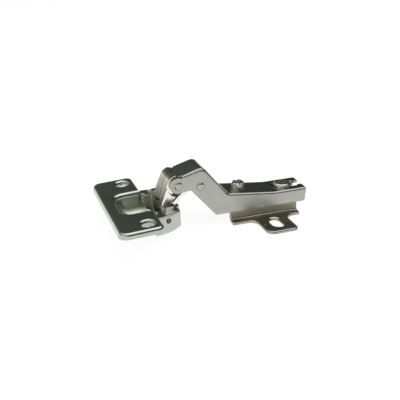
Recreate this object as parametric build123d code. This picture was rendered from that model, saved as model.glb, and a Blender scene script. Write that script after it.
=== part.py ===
from build123d import *
import math
import os

# Concealed cabinet hinge: a flanged 35 mm cup, a four-bar linkage of two links,
# a cranked channel arm and a winged mounting plate. Millimetres, +Z up from the
# cabinet wall, +X towards the back of the cabinet, Y across the hinge.
# The origin is on the plate's base, midway between its two screw slots.

# Mounting plate
PLATE_FRONT = 19.2          # length of the hat section ahead of the screw line
PLATE_REAR = 15.0           # length of the hat section behind the screw line
PLATE_HEIGHT = 11.3
PLATE_SHEET = 1.3
PLATE_HALF = 6.1            # half width over the hat's walls
PLATE_FOLD_R = 1.9
FOOT_HALF = 9.9             # half width over the feet
FOOT_CORNER_R = 0.5
WING_REACH = 25.4           # from the middle to a wing's tip
WING_FRONT = 7.9
WING_REAR = 7.3
WING_TIP_FRONT_R = 3.8
WING_TIP_REAR_R = 2.2
WING_ROOT_R = 4.2
WING_EDGE = 0.35            # bevel round a wing's top edge
PLATE_SCREW_PITCH = 32.0    # between the two screw slots
PLATE_SLOT_W = 5.0
PLATE_SLOT_TRAVEL = 4.2     # height adjustment in the slots
PLATE_SINK = 0.85           # countersink round a slot

# Arm
ARM_SHEET = 1.2
ARM_SIDE_GAP = 0.3          # between a plate wall and an arm wall
ARM_SEAT_GAP = 0.1          # between the plate's top and the arm's web
ARM_REAR = 19.2
ARM_REAR_LEAN = 0.6         # the rear edge leans forward by this much
ARM_FLAT_END = 2.8          # where the level seat ends and the web starts to climb
ARM_VALLEY_X = -20.9
ARM_VALLEY_RISE = 2.8
ARM_CREST_X = -32.7
ARM_CREST_RISE = 7.2        # of the crest above the front pin
ARM_NOSE_RISE = 3.8         # of the web's front edge above the front pin
ARM_NOSE_SETBACK = 0.2      # of the web's front edge behind the front pin
ARM_WALL_FOOT = 5.9         # height of the walls' lower edge above the cabinet
ARM_KNEE_X = -26.9          # where that edge turns up along the crank
ARM_ELBOW_DX = 5.75         # inner elbow, from the front pin
ARM_ELBOW_DZ = 2.75
ARM_FOLD_R = 1.1
ARM_VALLEY_R = 3.0
ARM_CREST_R = 3.6
ARM_KNEE_R = 1.2
ARM_ELBOW_R = 2.0
EAR_R = 3.75
EAR_RELIEF = 2.0            # the web is slit free of the ears this far behind the front pin
DENT_FRONT = -12.6          # coined dent along each wall's lower edge
DENT_REAR = -0.6
DENT_RISE = 2.1
DENT_DEPTH = 0.5

# Pivots
FRONT_PIN_X = -44.8
FRONT_PIN_Z = 23.0
ARM_PIN_PITCH = 10.55       # rear pin behind the front pin
ARM_PIN_DROP = 1.8          # rear pin below the front pin
ARM_PIN_R = 1.25
ARM_HEAD_R = 1.95
ARM_HEAD_H = 0.3
CUP_PIN_R = 1.0
PIN_CLEAR = 0.04            # running clearance of a link on its pin
SEAT_CLEAR = 0.02           # a pin riveted in its holes

# Cup, in its own frame: U along the cup towards the arm, N out of the flange face
CUP_X = -57.83              # centre of the 35 mm bore on the flange face
CUP_Z = 15.66
CUP_TILT = 2.8             # degrees past level when fully open
FLANGE_FRONT = 19.8         # from the bore's centre to the flange's front edge
FLANGE_HALF = 30.8
FLANGE_SHEET = 1.2
FLANGE_DEPTH = 2.7          # height of the turned-down rim
FLANGE_EDGE_R = 1.5
FLANGE_FRONT_R = 4.2
FLANGE_REAR_R = 3.0
CUP_SCREW_PITCH = 48.0
CUP_SCREW_BACK = 6.0        # screw line ahead of the bore's centre
CUP_HOLE_R = 2.8
CUP_DIMPLE_R = 4.3
POCKET_FRONT = 13.6
POCKET_HALF = 11.0
POCKET_DEPTH = 10.9
POCKET_CORNER_R = 5.0
POCKET_FLOOR_R = 4.2
POCKET_LIP_R = 1.7
CUP_WALL = 1.1
CUP_FLOOR = 1.0
CUP_BOTTOM_R = 3.2
CUP_REAR = 11.7             # flat rear end of the cup
BODY_R = 17.4               # round body behind the flange, in the 35 mm bore
RIM_DEPTH = 2.4             # its level rim below the flange face
RIM_EDGE_R = 0.5
LINK_PIN_U = 6.8            # outer link's pin in the cup
LINK_PIN_N = 2.4
CUP_EAR_R = 1.9
REAR_PIN_U = 10.5           # inner link's pin in the cup
REAR_PIN_N = 4.0
REAR_LUG_R = 1.5
HORN_TOP = 0.6              # tips of the rear wall below the flange face
GATE_HALF = 9.3             # half width of the rear wall's cut-out between those tips
SILL_HALF = 6.3             # and at its bottom
SILL_DEPTH = 8.8            # lowest part of the cut-out
SILL_R = 2.2
ANCHOR_N = 6.3              # spring anchor hole in each wall
ANCHOR_R = 1.1
WINDOW_N = 4.8              # window in the round body outside each anchor
WINDOW_R = 1.25

# Outer link
LINK_SHEET = 1.1
LINK_HALF = 7.5
LINK_FOLD_R = 0.9           # outside of the folds between web and cheeks
LINK_HEAD_R = 4.7           # outside of the link round the front pin
LINK_FOOT_R = 2.15          # outside of the link round its cup pin
LINK_SHOULDER_GAP = 1.45    # round the arm's ears
LINK_EAR_GAP = 0.4          # between the link's head and the arm's ears
LINK_BOSS_R = 2.5
LINK_NOTCH_RISE = 0.7       # the web's middle stops this far above its cup pin
LINK_NOTCH_GAP = 0.4        # beside the inner link
LINK_HEAD_ANGLE = 97.0     # the web ends here over the front pin
LINK_FOOT_ANGLE = 282.0     # and here under the cup pin
LINK_CHEEK_ANGLE = 45.0     # lean of the cheeks' open edge
LINK_CHEEK_DROP = 3.7       # where that edge starts below the front pin

# Inner link
INNER_HALF = 4.3
INNER_THICK = 1.6
INNER_EYE_R = 2.7
INNER_BOW = 1.2
INNER_SLOT_DX = 0.12        # travel of the open pivot in the link's rear eye
INNER_SLOT_DZ = -1.95
INNER_SLOT_CLEAR = 0.3
INNER_SLOT_WALL = 0.9

# Closing springs
WIRE_R = 0.38
ELBOW = 1.03                # ball at each bend of the wire, against the wire's own radius
COIL_R = 1.6
COIL_HALF_TURNS = 5
COIL_PITCH = 0.79
COIL_SIDE_GAP = 0.2
TOE_GAP = 0.12              # between a spring's toe and the link's foot

# Screws
FIX_X = 10.0
FIX_R = 2.8
FIX_FLANGE_R = 4.6
FIX_FLANGE_H = 0.5
FIX_HEAD_R = 4.0
FIX_HEAD_H = 0.9
FIX_TIP_Z = 4.6
ADJ_X = -13.1
ADJ_R = 2.95
ADJ_TOP = 17.7
ADJ_NECK_R = 1.9
ADJ_TOE_R = 3.2
ADJ_TOE_H = 1.2
ADJ_PLATE_GAP = 0.35        # between the screw's shoulders and the plate's top sheet
SCREW_FIT = 0.05
SLOT_W = 6.4                # of the arm's slot round the fixing screw
SLOT_MOUTH_W = 4.4
SLOT_HOOK = 2.1             # length of the hooked tips at the slot's mouth
DEPTH_TRAVEL = 2.5          # of the arm along the plate, each way
RECESS_W = 1.0
RECESS_DEPTH = 1.0
RECESS_SPAN = 4.6

# Derived places
ARM_HALF_IN = PLATE_HALF + ARM_SIDE_GAP
ARM_HALF = ARM_HALF_IN + ARM_SHEET
ARM_SEAT_Z = PLATE_HEIGHT + ARM_SEAT_GAP
ARM_REAR_Z = ARM_SEAT_Z + ARM_SHEET
FRONT_PIN = (FRONT_PIN_X, FRONT_PIN_Z)
ARM_PIN = (FRONT_PIN_X + ARM_PIN_PITCH, FRONT_PIN_Z - ARM_PIN_DROP)
TILT = math.radians(CUP_TILT)
CUP_FRAME = Location((CUP_X, 0, CUP_Z), (0, -CUP_TILT, 0))
LINK_HEAD_HALF = ARM_HALF_IN - LINK_EAR_GAP
CUP_EAR_HALF = POCKET_HALF + CUP_WALL
ANCHOR_U = LINK_PIN_U - COIL_R
SHOULDER_R = EAR_R + LINK_SHOULDER_GAP
BIG = 80.0


def in_cup(u, n):
    """Side-view place of a point of the cup, n counted down from the flange face."""
    x = CUP_X + u * math.cos(TILT) + n * math.sin(TILT)
    z = CUP_Z + u * math.sin(TILT) - n * math.cos(TILT)
    return (x, z)


LINK_PIN = in_cup(LINK_PIN_U, LINK_PIN_N)
REAR_PIN = in_cup(REAR_PIN_U, REAR_PIN_N)


def slab(face, y0, y1):
    """Thicken a side-view face from y0 to y1."""
    low, high = min(y0, y1), max(y0, y1)
    plane = Plane(origin=(0, high, 0), x_dir=(1, 0, 0), z_dir=(0, -1, 0))
    return extrude(plane * face, amount=high - low)


def both_sides(face, y0, y1):
    """The same slab on both sides of the middle plane."""
    return slab(face, y0, y1) + slab(face, -y1, -y0)


def disc(centre, radius):
    """Round side-view face."""
    return Pos(*centre) * Circle(radius)


def poly(*points):
    """Side-view polygon through the points."""
    return make_face(Polyline(*points, close=True))


def rounded(face, corners):
    """Round the corners of a face, given as point and radius."""
    for (px, py), radius in corners:
        vertex = min(face.vertices(), key=lambda v: (v.X - px) ** 2 + (v.Y - py) ** 2)
        face = fillet(vertex, radius)
    return face


def belt(c0, r0, c1, r1):
    """Outline of a tight belt round two discs."""
    dx, dz = c1[0] - c0[0], c1[1] - c0[1]
    reach = math.hypot(dx, dz)
    along = math.atan2(dz, dx)
    lean = math.acos((r0 - r1) / reach)
    ends = []
    for sign in (1, -1):
        a = along + sign * lean
        ends.append((c0[0] + r0 * math.cos(a), c0[1] + r0 * math.sin(a)))
        ends.append((c1[0] + r1 * math.cos(a), c1[1] + r1 * math.sin(a)))
    return disc(c0, r0) + disc(c1, r1) + poly(ends[0], ends[1], ends[3], ends[2])


def polar(centre, radius, degrees):
    """Point at a distance and direction from a centre."""
    a = math.radians(degrees)
    return (centre[0] + radius * math.cos(a), centre[1] + radius * math.sin(a))


def offset_chain(points, shift):
    """Run of straight pieces moved to its left by shift, mitred at the corners."""
    moved = []
    for (x0, z0), (x1, z1) in zip(points, points[1:]):
        length = math.hypot(x1 - x0, z1 - z0)
        nx, nz = -(z1 - z0) / length * shift, (x1 - x0) / length * shift
        moved.append(((x0 + nx, z0 + nz), (x1 + nx, z1 + nz)))
    out = [moved[0][0]]
    for (a, b), (c, d) in zip(moved, moved[1:]):
        rx, rz = b[0] - a[0], b[1] - a[1]
        sx, sz = d[0] - c[0], d[1] - c[1]
        t = ((c[0] - a[0]) * sz - (c[1] - a[1]) * sx) / (rx * sz - rz * sx)
        out.append((a[0] + t * rx, a[1] + t * rz))
    out.append(moved[-1][1])
    return out


def cross_pin(place, radius, y0, y1):
    """Round bar across the hinge."""
    return slab(disc(place, radius), y0, y1)


def mounting_plate():
    """Hat-section plate with a screw wing on each side."""
    half = [
        (0, PLATE_HEIGHT),
        (PLATE_HALF, PLATE_HEIGHT),
        (PLATE_HALF, PLATE_SHEET),
        (FOOT_HALF, PLATE_SHEET),
        (FOOT_HALF, 0),
        (PLATE_HALF - PLATE_SHEET, 0),
        (PLATE_HALF - PLATE_SHEET, PLATE_HEIGHT - PLATE_SHEET),
        (0, PLATE_HEIGHT - PLATE_SHEET),
    ]
    section = rounded(poly(*half), [
        ((PLATE_HALF, PLATE_HEIGHT), PLATE_FOLD_R),
        ((PLATE_HALF, PLATE_SHEET), PLATE_SHEET),
        ((PLATE_HALF - PLATE_SHEET, 0), 2 * PLATE_SHEET),
        ((PLATE_HALF - PLATE_SHEET, PLATE_HEIGHT - PLATE_SHEET), PLATE_FOLD_R - PLATE_SHEET),
    ])
    across = Plane(origin=(-PLATE_FRONT, 0, 0), x_dir=(0, 1, 0), z_dir=(1, 0, 0))
    right = extrude(across * section, amount=PLATE_FRONT + PLATE_REAR)
    body = right + right.mirror(Plane.XZ)
    feet = [e for e in body.edges().filter_by(Axis.Z)
            if abs(abs(e.center().Y) - FOOT_HALF) < 0.01]
    body = fillet(feet, FOOT_CORNER_R)

    root = FOOT_HALF - PLATE_SHEET
    wing = poly((-WING_FRONT, root), (WING_REAR, root), (WING_REAR, WING_REACH),
                (-WING_FRONT, WING_REACH))
    wing = rounded(wing, [((-WING_FRONT, WING_REACH), WING_TIP_FRONT_R),
                          ((WING_REAR, WING_REACH), WING_TIP_REAR_R)])
    web = poly((-WING_FRONT - WING_ROOT_R, root), (WING_REAR + WING_ROOT_R, root),
               (WING_REAR + WING_ROOT_R, FOOT_HALF + WING_ROOT_R),
               (-WING_FRONT - WING_ROOT_R, FOOT_HALF + WING_ROOT_R))
    for x in (-WING_FRONT - WING_ROOT_R, WING_REAR + WING_ROOT_R):
        web -= disc((x, FOOT_HALF + WING_ROOT_R), WING_ROOT_R)
    leaf = extrude(wing + web, amount=PLATE_SHEET)
    tip = [e for e in leaf.edges() if e.center().Z > PLATE_SHEET - 0.01
           and e.center().Y > FOOT_HALF + WING_ROOT_R]
    leaf = chamfer(tip, WING_EDGE)
    slot_y = PLATE_SCREW_PITCH / 2
    slot = SlotCenterToCenter(PLATE_SLOT_TRAVEL, PLATE_SLOT_W, rotation=90)
    leaf -= Pos(0, slot_y, -1) * extrude(slot, amount=PLATE_SHEET + 2)
    reach = (PLATE_SLOT_TRAVEL + PLATE_SLOT_W) / 2 + 0.01
    mouth = [e for e in leaf.edges() if abs(e.center().Z - PLATE_SHEET) < 0.01
             and abs(e.center().Y - slot_y) < reach and abs(e.center().X) < reach]
    leaf = chamfer(mouth, PLATE_SINK)
    body += leaf
    body += leaf.mirror(Plane.XZ)

    top = PLATE_HEIGHT - 2 * PLATE_SHEET
    body -= Pos(FIX_X, 0, top) * extrude(Circle(FIX_R + SCREW_FIT), amount=3 * PLATE_SHEET)
    neck = ADJ_NECK_R + ADJ_PLATE_GAP
    back = ADJ_X + DEPTH_TRAVEL + ADJ_PLATE_GAP
    channel = Pos((back - PLATE_FRONT) / 2 - 1, 0) * Rectangle(back + PLATE_FRONT + 2, 2 * neck)
    body -= Pos(0, 0, top) * extrude(channel + disc((back, 0), neck), amount=3 * PLATE_SHEET)
    return body


def arm_top():
    """Top line of the arm from its rear end to its nose."""
    return [
        (ARM_REAR, ARM_REAR_Z),
        (ARM_FLAT_END, ARM_REAR_Z),
        (ARM_VALLEY_X, ARM_REAR_Z + ARM_VALLEY_RISE),
        (ARM_CREST_X, FRONT_PIN_Z + ARM_CREST_RISE),
        (FRONT_PIN_X + ARM_NOSE_SETBACK, FRONT_PIN_Z + ARM_NOSE_RISE),
    ]


def hinge_arm():
    """Cranked channel arm with two pin ears, an adjusting hole and a rear slot."""
    top = arm_top()
    elbow = (FRONT_PIN_X + ARM_ELBOW_DX, FRONT_PIN_Z - ARM_ELBOW_DZ)
    knee = (ARM_KNEE_X, ARM_WALL_FOOT)
    heel = (ARM_REAR - ARM_REAR_LEAN, ARM_WALL_FOOT)
    side = poly(*top, FRONT_PIN, (FRONT_PIN_X, FRONT_PIN_Z - EAR_R), elbow, knee, heel)
    side = rounded(side, [
        (top[2], ARM_VALLEY_R),
        (top[3], ARM_CREST_R),
        (elbow, ARM_ELBOW_R),
        (knee, ARM_KNEE_R),
        (heel, ARM_FOLD_R),
    ])
    body = slab(side, -ARM_HALF, ARM_HALF)
    path = [top[1], top[2], top[3], top[4]]
    folds = []
    for edge in body.edges():
        c = edge.center()
        if abs(abs(c.Y) - ARM_HALF) > 0.01 or edge.length < 0.3:
            continue
        if c.Z > ARM_SEAT_Z and near_chain((c.X, c.Z), [top[0]] + path, ARM_CREST_R / 2):
            folds.append(edge)
    body = fillet(folds, ARM_FOLD_R)

    under = offset_chain(top, ARM_SHEET)
    nose_dx, nose_dz = under[-1][0] - under[-2][0], under[-1][1] - under[-2][1]
    ahead = (under[-1][0] + 2 * nose_dx, under[-1][1] + 2 * nose_dz)
    hollow = poly((under[0][0] + ARM_REAR, under[0][1]), under[1], under[2], under[3], ahead,
                  (ahead[0], -BIG), (under[0][0] + ARM_REAR, -BIG))
    hollow = rounded(hollow, [(under[2], ARM_VALLEY_R + ARM_SHEET),
                              (under[3], ARM_CREST_R - ARM_SHEET)])
    body -= slab(hollow, -ARM_HALF_IN, ARM_HALF_IN)

    relief_x = FRONT_PIN_X + EAR_RELIEF
    freed = poly((relief_x, FRONT_PIN_Z), (relief_x, FRONT_PIN_Z + BIG),
                 (relief_x - BIG, FRONT_PIN_Z + BIG), (relief_x - BIG, FRONT_PIN_Z))
    body -= both_sides(freed, LINK_HEAD_HALF, ARM_HALF + 1)
    body += both_sides(disc(FRONT_PIN, EAR_R), ARM_HALF_IN, ARM_HALF)

    for place in (FRONT_PIN, ARM_PIN):
        body -= cross_pin(place, ARM_PIN_R + SEAT_CLEAR, -ARM_HALF - 1, ARM_HALF + 1)

    drill = Pos(ADJ_X, 0, ARM_SEAT_Z) * extrude(Circle(ADJ_R + SCREW_FIT), amount=BIG / 4)
    body -= drill
    slot_end = FIX_X - DEPTH_TRAVEL
    hook = ARM_REAR - SLOT_HOOK
    window = disc((slot_end, 0), SLOT_W / 2)
    window += Pos((slot_end + hook) / 2, 0) * Rectangle(hook - slot_end, SLOT_W)
    window = rounded(window, [((hook, SLOT_W / 2), 1.0), ((hook, -SLOT_W / 2), 1.0)])
    window += Pos(ARM_REAR - SLOT_HOOK / 2, 0) * Rectangle(2 * SLOT_HOOK, SLOT_MOUTH_W)
    body -= Pos(0, 0, ARM_SEAT_Z - ARM_SHEET) * extrude(window, amount=4 * ARM_SHEET)

    middle = (DENT_FRONT + DENT_REAR) / 2
    dent = poly((DENT_FRONT, ARM_WALL_FOOT - 1), (DENT_FRONT, ARM_WALL_FOOT + DENT_RISE / 3),
                (middle, ARM_WALL_FOOT + DENT_RISE), (DENT_REAR - DENT_RISE, ARM_WALL_FOOT + DENT_RISE),
                (DENT_REAR, ARM_WALL_FOOT - 1))
    body -= both_sides(dent, ARM_HALF - DENT_DEPTH, ARM_HALF + 1)
    return body


def near_chain(point, chain, reach):
    """Whether a side-view point lies near a run of straight pieces."""
    for (x0, z0), (x1, z1) in zip(chain, chain[1:]):
        length = math.hypot(x1 - x0, z1 - z0)
        tx, tz = (x1 - x0) / length, (z1 - z0) / length
        along = (point[0] - x0) * tx + (point[1] - z0) * tz
        across = abs((point[1] - z0) * tx - (point[0] - x0) * tz)
        if -reach < along < length + reach and across < reach:
            return True
    return False


def outer_link():
    """Folded outer link: a web round both pins with cheeks and bosses on its sides."""
    outline = belt(FRONT_PIN, LINK_HEAD_R, LINK_PIN, LINK_FOOT_R)
    inside = belt(FRONT_PIN, LINK_HEAD_R - LINK_SHEET, LINK_PIN, LINK_FOOT_R - LINK_SHEET)
    open_side = poly(FRONT_PIN, polar(FRONT_PIN, BIG, LINK_HEAD_ANGLE), (BIG, BIG), (BIG, -BIG),
                     polar(LINK_PIN, BIG, LINK_FOOT_ANGLE), LINK_PIN)
    web = outline - inside - open_side
    body = slab(web, -LINK_HALF, LINK_HALF)
    body -= both_sides(disc(FRONT_PIN, SHOULDER_R), LINK_HEAD_HALF, LINK_HALF + 1)

    lean = math.radians(LINK_CHEEK_ANGLE)
    start = (FRONT_PIN_X, FRONT_PIN_Z - LINK_CHEEK_DROP)
    low = (start[0] - BIG * math.cos(lean), start[1] - BIG * math.sin(lean))
    high = (start[0] + BIG * math.cos(lean), start[1] + BIG * math.sin(lean))
    below = poly(low, high, (BIG, -BIG), (-BIG, -BIG))
    cheek = outline - below - disc(FRONT_PIN, SHOULDER_R)
    cheek += disc(LINK_PIN, LINK_FOOT_R)
    body += both_sides(cheek, LINK_HALF - LINK_SHEET, LINK_HALF)

    boss = disc(FRONT_PIN, LINK_BOSS_R)
    boss += (outline - open_side) - poly(low, high, (BIG, -BIG), (-BIG, -BIG))
    boss -= disc(LINK_PIN, 2 * LINK_FOOT_R)
    body += both_sides(boss, LINK_HEAD_HALF - LINK_SHEET, LINK_HEAD_HALF)

    dx, dz = FRONT_PIN_X - LINK_PIN[0], FRONT_PIN_Z - LINK_PIN[1]
    along = math.degrees(math.atan2(dz, dx))
    edge = polar(LINK_PIN, LINK_NOTCH_RISE, along)
    left, right = polar(edge, BIG, along + 90), polar(edge, BIG, along - 90)
    notch = poly(left, right, polar(right, BIG, along + 180), polar(left, BIG, along + 180))
    body -= slab(notch, -INNER_HALF - LINK_NOTCH_GAP, INNER_HALF + LINK_NOTCH_GAP)

    folds = []
    for edge in body.edges().filter_by(GeomType.LINE):
        c = edge.center()
        across = (c.X - LINK_PIN[0]) * dz - (c.Z - LINK_PIN[1]) * dx
        if abs(abs(c.Y) - LINK_HALF) < 0.01 and across < -LINK_FOOT_R * math.hypot(dx, dz):
            folds.append(edge)
    body = fillet(folds, LINK_FOLD_R)

    body -= cross_pin(FRONT_PIN, ARM_PIN_R + PIN_CLEAR, -LINK_HALF - 1, LINK_HALF + 1)
    body -= cross_pin(LINK_PIN, CUP_PIN_R + PIN_CLEAR, -LINK_HALF - 1, LINK_HALF + 1)
    return body


def inner_link():
    """Bowed inner link with a round eye on the arm's rear pin and a long eye in the cup."""
    slot_r = CUP_PIN_R + INNER_SLOT_CLEAR
    far = (REAR_PIN[0] + INNER_SLOT_DX, REAR_PIN[1] + INNER_SLOT_DZ)
    eye = belt(REAR_PIN, slot_r + INNER_SLOT_WALL, far, slot_r + INNER_SLOT_WALL - 0.001)
    hole = belt(REAR_PIN, slot_r, far, slot_r - 0.001)
    dx, dz = ARM_PIN[0] - REAR_PIN[0], ARM_PIN[1] - REAR_PIN[1]
    span = math.hypot(dx, dz)
    crown = (REAR_PIN[0] + dx / 2 - dz / span * INNER_BOW, REAR_PIN[1] + dz / 2 + dx / span * INNER_BOW)
    spine = ThreePointArc(REAR_PIN, crown, ARM_PIN)
    radius = spine.radius
    centre = (spine.arc_center.X, spine.arc_center.Y)
    ring = disc(centre, radius + INNER_THICK / 2) - disc(centre, radius - INNER_THICK / 2)
    bounds = poly((REAR_PIN[0], REAR_PIN[1]), ARM_PIN,
                  (ARM_PIN[0] - dz, ARM_PIN[1] + dx), (REAR_PIN[0] - dz, REAR_PIN[1] + dx))
    bar = ring & bounds
    side = disc(ARM_PIN, INNER_EYE_R) + bar + eye
    side -= disc(ARM_PIN, ARM_PIN_R + PIN_CLEAR)
    side -= hole
    return slab(side, -INNER_HALF, INNER_HALF)


def arm_pin(place):
    """Riveted pin across the arm, with a formed head on each side."""
    body = cross_pin(place, ARM_PIN_R, -ARM_HALF, ARM_HALF)
    for sign in (1, -1):
        head = cross_pin(place, ARM_HEAD_R, sign * ARM_HALF, sign * (ARM_HALF + ARM_HEAD_H))
        rim = [e for e in head.edges() if abs(abs(e.center().Y) - ARM_HALF - ARM_HEAD_H) < 0.01
               and e.geom_type == GeomType.CIRCLE]
        body += chamfer(rim, ARM_HEAD_H * 0.8)
    return body


def cup_stub(sign):
    """Short pin of the outer link, riveted flush in one ear of the cup."""
    inner = sign * (LINK_HALF - LINK_SHEET)
    outer = sign * CUP_EAR_HALF
    return cross_pin(LINK_PIN, CUP_PIN_R, inner, outer)


def cup_rear_pin():
    """Pin of the inner link, riveted flush across the cup."""
    return cross_pin(REAR_PIN, CUP_PIN_R, -CUP_EAR_HALF, CUP_EAR_HALF)


def cup_plan(half, front, corner, rear):
    """Plan of the cup's tub, rounded at its front end."""
    plan = poly((-front, -half), (rear, -half), (rear, half), (-front, half))
    return rounded(plan, [((-front, s * half), corner) for s in (1, -1)])


def cup_flange():
    """Screw flange with a turned-down rim and a pressed dimple round each screw hole."""
    plan = poly((-FLANGE_FRONT, -FLANGE_HALF), (0, -FLANGE_HALF), (0, FLANGE_HALF),
                (-FLANGE_FRONT, FLANGE_HALF))
    corners = [((-FLANGE_FRONT, s * FLANGE_HALF), FLANGE_FRONT_R) for s in (1, -1)]
    corners += [((0, s * FLANGE_HALF), FLANGE_REAR_R) for s in (1, -1)]
    plan = rounded(plan, corners)
    body = Pos(0, 0, -FLANGE_DEPTH) * extrude(plan, amount=FLANGE_DEPTH)
    body = fillet(body.faces().sort_by(Axis.Z)[-1].edges(), FLANGE_EDGE_R)
    hollow = offset(plan, -FLANGE_SHEET)
    body -= Pos(0, 0, -FLANGE_DEPTH - 1) * extrude(hollow, amount=FLANGE_DEPTH + 1 - FLANGE_SHEET)
    skin = FLANGE_SHEET * 0.75
    for sign in (1, -1):
        spot = Pos(-CUP_SCREW_BACK, sign * CUP_SCREW_PITCH / 2, 0)
        rise = CUP_DIMPLE_R - CUP_HOLE_R + skin - FLANGE_SHEET / 2
        boss = Cone(CUP_HOLE_R + skin, CUP_DIMPLE_R + skin, rise)
        body += spot * Pos(0, 0, -FLANGE_SHEET / 2 - rise / 2) * boss
        body -= spot * screw_hole_tool()
    return body


def screw_hole_tool():
    """Inside of a flange screw hole, flared to its dimple at the flange face."""
    tool = Cylinder(CUP_HOLE_R, 2 * FLANGE_DEPTH, align=(Align.CENTER, Align.CENTER, Align.MAX))
    tool += Box(3 * CUP_DIMPLE_R, 3 * CUP_DIMPLE_R, FLANGE_DEPTH, align=(Align.CENTER, Align.CENTER, Align.MIN))
    mouth = [e for e in tool.edges() if e.geom_type == GeomType.CIRCLE and abs(e.center().Z) < 0.01]
    return fillet(mouth, CUP_DIMPLE_R - CUP_HOLE_R)


def cup_tub():
    """Solid blank of the tub below the flange, with the rear wall at full height."""
    bottom = POCKET_DEPTH + CUP_FLOOR
    plan = cup_plan(POCKET_HALF + CUP_WALL, POCKET_FRONT + CUP_WALL, POCKET_CORNER_R + CUP_WALL, CUP_REAR)
    blank = Pos(0, 0, -bottom) * extrude(plan, amount=bottom - HORN_TOP)
    blank = fillet(blank.faces().sort_by(Axis.Z)[0].edges(), CUP_BOTTOM_R)
    rear = CUP_REAR - CUP_WALL
    cleared = Box(rear, BIG, 2 * RIM_DEPTH, align=(Align.MIN, Align.CENTER, Align.CENTER))
    return blank - cleared


def cup_body():
    """Round body behind the flange: a level rim with a skirt turned down round the bore."""
    bottom = POCKET_DEPTH + CUP_FLOOR
    section = poly((0, -bottom), (BODY_R, -bottom), (BODY_R, -RIM_DEPTH), (0, -RIM_DEPTH))
    section = rounded(section, [((BODY_R, -bottom), CUP_BOTTOM_R), ((BODY_R, -RIM_DEPTH), RIM_EDGE_R)])
    inside = BODY_R - CUP_WALL
    section -= poly((0, -2 * bottom), (inside, -2 * bottom), (inside, -RIM_DEPTH - CUP_WALL),
                    (0, -RIM_DEPTH - CUP_WALL))
    shell = revolve(Plane.XZ * section, Axis.Z)
    span = Box(CUP_REAR + FLANGE_SHEET, BIG, BIG, align=(Align.MIN, Align.CENTER, Align.CENTER))
    return shell & Pos(-FLANGE_SHEET, 0, 0) * span


def cup_ears():
    """Side-view outline of the ears that carry the pins beside the pocket."""
    foot = RIM_DEPTH + CUP_WALL
    link_pin = (LINK_PIN_U, -LINK_PIN_N)
    rear_pin = (REAR_PIN_U, -REAR_PIN_N)
    front = LINK_PIN_U - CUP_EAR_R
    ear = poly((front, -foot), (CUP_REAR, -foot), (CUP_REAR, -REAR_PIN_N), rear_pin, link_pin,
               (front, -LINK_PIN_N))
    ear += belt(link_pin, CUP_EAR_R, rear_pin, REAR_LUG_R)
    return ear


def pocket_tool():
    """Inside of the cup: rounded floor edge below, flared lip at the flange face."""
    plan = cup_plan(POCKET_HALF, POCKET_FRONT, POCKET_CORNER_R, CUP_REAR - CUP_WALL)
    well = Pos(0, 0, -POCKET_DEPTH) * extrude(plan, amount=POCKET_DEPTH)
    well = fillet(well.faces().sort_by(Axis.Z)[0].edges(), POCKET_FLOOR_R)
    tool = well + Box(BIG, BIG, FLANGE_DEPTH, align=(Align.CENTER, Align.CENTER, Align.MIN))
    lip = [e for e in tool.edges() if abs(e.center().Z) < 0.01 and abs(e.center().Y) < POCKET_HALF + 0.1
           and abs(e.center().X) < POCKET_FRONT + 0.1]
    return fillet(lip, POCKET_LIP_R)


def rear_gate():
    """Wide scallop that opens the rear wall for the links."""
    gate = poly((-SILL_HALF, -SILL_DEPTH), (SILL_HALF, -SILL_DEPTH), (GATE_HALF, -HORN_TOP),
                (GATE_HALF, BIG), (-GATE_HALF, BIG), (-GATE_HALF, -HORN_TOP))
    gate = rounded(gate, [((s * SILL_HALF, -SILL_DEPTH), SILL_R) for s in (1, -1)])
    across = Plane(origin=(CUP_REAR - 2 * CUP_WALL, 0, 0), x_dir=(0, 1, 0), z_dir=(1, 0, 0))
    return extrude(across * gate, amount=4 * CUP_WALL)


def hinge_cup():
    """Pressed cup: screw flange, deep pocket, round body, pin ears and a cut-down rear wall."""
    outer = CUP_EAR_HALF
    body = cup_flange() + cup_tub() + cup_body()
    body += both_sides(cup_ears(), outer - CUP_WALL, outer)
    body -= pocket_tool()
    body -= rear_gate()
    for u, n, radius in ((LINK_PIN_U, LINK_PIN_N, CUP_PIN_R + SEAT_CLEAR),
                         (REAR_PIN_U, REAR_PIN_N, CUP_PIN_R + SEAT_CLEAR),
                         (ANCHOR_U, ANCHOR_N, ANCHOR_R)):
        body -= slab(disc((u, -n), radius), -outer - CUP_WALL / 2, outer + CUP_WALL / 2)
    body -= both_sides(disc((ANCHOR_U, -WINDOW_N), WINDOW_R), outer + CUP_WALL / 2, BODY_R + 1)
    return CUP_FRAME * body


def wire_run(points):
    """Round wire through the points, with ball elbows."""
    body = Pos(*points[0]) * Sphere(WIRE_R * ELBOW)
    for a, b in zip(points, points[1:]):
        line = Line(a, b)
        body += extrude(Plane(origin=a, z_dir=line % 0) * Circle(WIRE_R), amount=line.length)
        if b != points[-1]:
            body += Pos(*b) * Sphere(WIRE_R * ELBOW)
    return body


def spring_coil():
    """Left-hand coil of half turns, each tilted so that the next one runs on smoothly."""
    climb = COIL_PITCH / 2
    body = None
    for k in range(COIL_HALF_TURNS):
        side = 1 if k % 2 == 0 else -1
        start = Plane(origin=(side * COIL_R, 0, k * climb), x_dir=(1, 0, 0), z_dir=(0, -side, 0))
        axis = Axis((0, 0, (k + 0.5) * climb), (-side * climb, 0, -2 * COIL_R))
        turn = revolve(start * Circle(WIRE_R), axis, 180)
        body = turn if body is None else body + turn
    return body


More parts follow.
